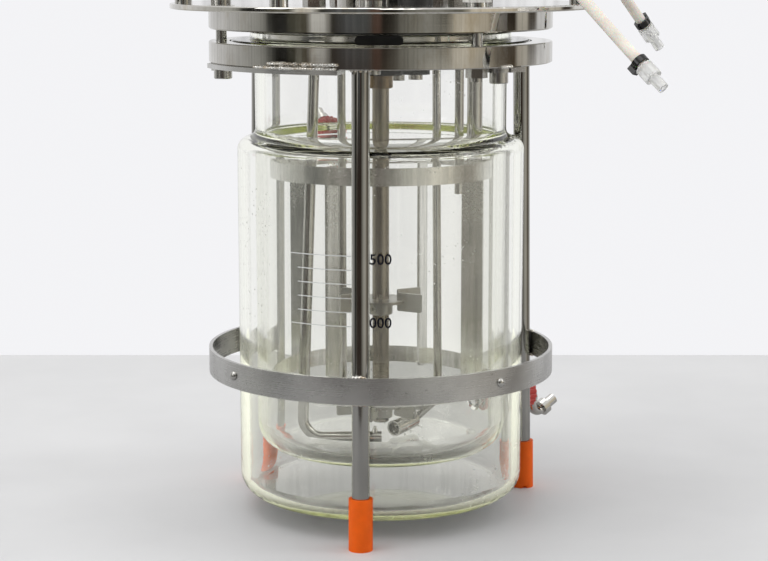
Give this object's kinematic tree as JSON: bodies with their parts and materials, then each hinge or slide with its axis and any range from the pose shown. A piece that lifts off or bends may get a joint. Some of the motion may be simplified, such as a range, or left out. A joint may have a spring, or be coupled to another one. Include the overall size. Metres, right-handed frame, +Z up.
{
  "type": "bench bioreactor",
  "caption": "Jacketed glass stirred-tank bioreactor hung in a legged steel stand, with stirrer, baffles, lid, ports and silicone hoses.",
  "frame": {"origin": "on the vessel's axis, at the level of the surface that the feet stand on", "axes": "+Z up along the vessel and the stirrer shaft, -Y towards the front leg"},
  "size_m": [0.2804, 0.232, 0.3869],
  "materials": {
    "black_plastic": "black nylon",
    "black_rubber": "matt black rubber",
    "borosilicate": "clear blown glass",
    "carbon_seal": "dark graphite-filled plastic",
    "clear_plastic": "clear moulded plastic",
    "hose_silicone": "creamy translucent silicone",
    "orange_silicone": "soft orange silicone",
    "polished_steel": "polished stainless steel",
    "red_plastic": "moulded red plastic",
    "satin_steel": "satin stainless steel",
    "spring_steel": "bright stainless strip",
    "white_plastic": "moulded white plastic",
    "white_silicone": "soft white silicone"
  },
  "bodies": {
    "vessel_and_stand": {"air_hose": "hose_silicone", "baffles": "spring_steel", "bearing_housing": "satin_steel", "bung_tube": "satin_steel", "cage_rings": "spring_steel", "clamp_nuts": "satin_steel", "clamp_ring": "satin_steel", "dip_tube": "satin_steel", "feed_tube": "satin_steel", "foot_front": "orange_silicone", "foot_left": "orange_silicone", "foot_right": "orange_silicone", "gland_bodies": "satin_steel", "gland_nuts": "satin_steel", "gland_rings": "black_rubber", "glass_vessel": "borosilicate", "guard_hoop": "spring_steel", "head_plate": "satin_steel", "hoop_rivets": "satin_steel", "hose_stem_lower": "satin_steel", "hose_stem_upper": "satin_steel", "hose_ties": "black_plastic", "housing_cover": "satin_steel", "housing_screws": "satin_steel", "leg_front": "polished_steel", "leg_left": "polished_steel", "leg_right": "polished_steel", "lid_gasket": "white_silicone", "lifting_handles": "polished_steel", "lip_cushion": "white_silicone", "luer_fittings": "clear_plastic", "port_bung": "black_rubber", "port_plugs": "satin_steel", "port_seals": "white_silicone", "rim_pad": "black_rubber", "sample_tube": "satin_steel", "seal_bush": "carbon_seal", "shaft_bearings": "satin_steel", "shaft_seal": "carbon_seal", "sparger_pipe": "satin_steel", "spigot_o_ring": "black_rubber", "stand_screws": "satin_steel", "stand_tabs": "satin_steel", "thermowell": "satin_steel", "top_disc": "polished_steel", "vent_hose": "hose_silicone"},
    "stirrer": {"stirrer_shaft": "polished_steel", "impeller_upper": "satin_steel", "impeller_lower": "satin_steel", "impeller_grub_screws": "satin_steel", "drive_hub": "satin_steel"},
    "clamp_screw_left": {"clamp_bolt_left": "satin_steel", "clamp_knob_left": "white_plastic"},
    "clamp_screw_front": {"clamp_bolt_front": "satin_steel", "clamp_knob_front": "white_plastic"},
    "clamp_screw_rear": {"clamp_bolt_rear": "satin_steel", "clamp_knob_rear": "white_plastic"},
    "lower_cap": {"port_cap_lower": "red_plastic"},
    "upper_cap": {"port_cap_upper": "red_plastic"}
  },
  "joints": [
    {"name": "stirrer_spin", "type": "hinge", "parent": "vessel_and_stand", "child": "stirrer", "pos_m": [0, 0, 0.3], "axis": [0, 0, 1], "continuous": true},
    {"name": "clamp_screw_left_turn", "type": "hinge", "parent": "vessel_and_stand", "child": "clamp_screw_left", "pos_m": [-0.08773, -0.0069, 0.2855], "axis": [0, 0, 1], "range_deg": [0, 360]},
    {"name": "clamp_screw_front_turn", "type": "hinge", "parent": "vessel_and_stand", "child": "clamp_screw_front", "pos_m": [0.04984, -0.07252, 0.2855], "axis": [0, 0, 1], "range_deg": [0, 360]},
    {"name": "clamp_screw_rear_turn", "type": "hinge", "parent": "vessel_and_stand", "child": "clamp_screw_rear", "pos_m": [0.03789, 0.07943, 0.2855], "axis": [0, 0, 1], "range_deg": [0, 360]},
    {"name": "lower_cap_turn", "type": "hinge", "parent": "vessel_and_stand", "child": "lower_cap", "pos_m": [0.07986, 0.06018, 0.051], "axis": [0.7986, 0.6018, 0], "range_deg": [0, 360]},
    {"name": "upper_cap_turn", "type": "hinge", "parent": "vessel_and_stand", "child": "upper_cap", "pos_m": [-0.02759, 0.07189, 0.1938], "axis": [-0.3104, 0.8085, 0.5], "range_deg": [0, 360]}
  ]
}
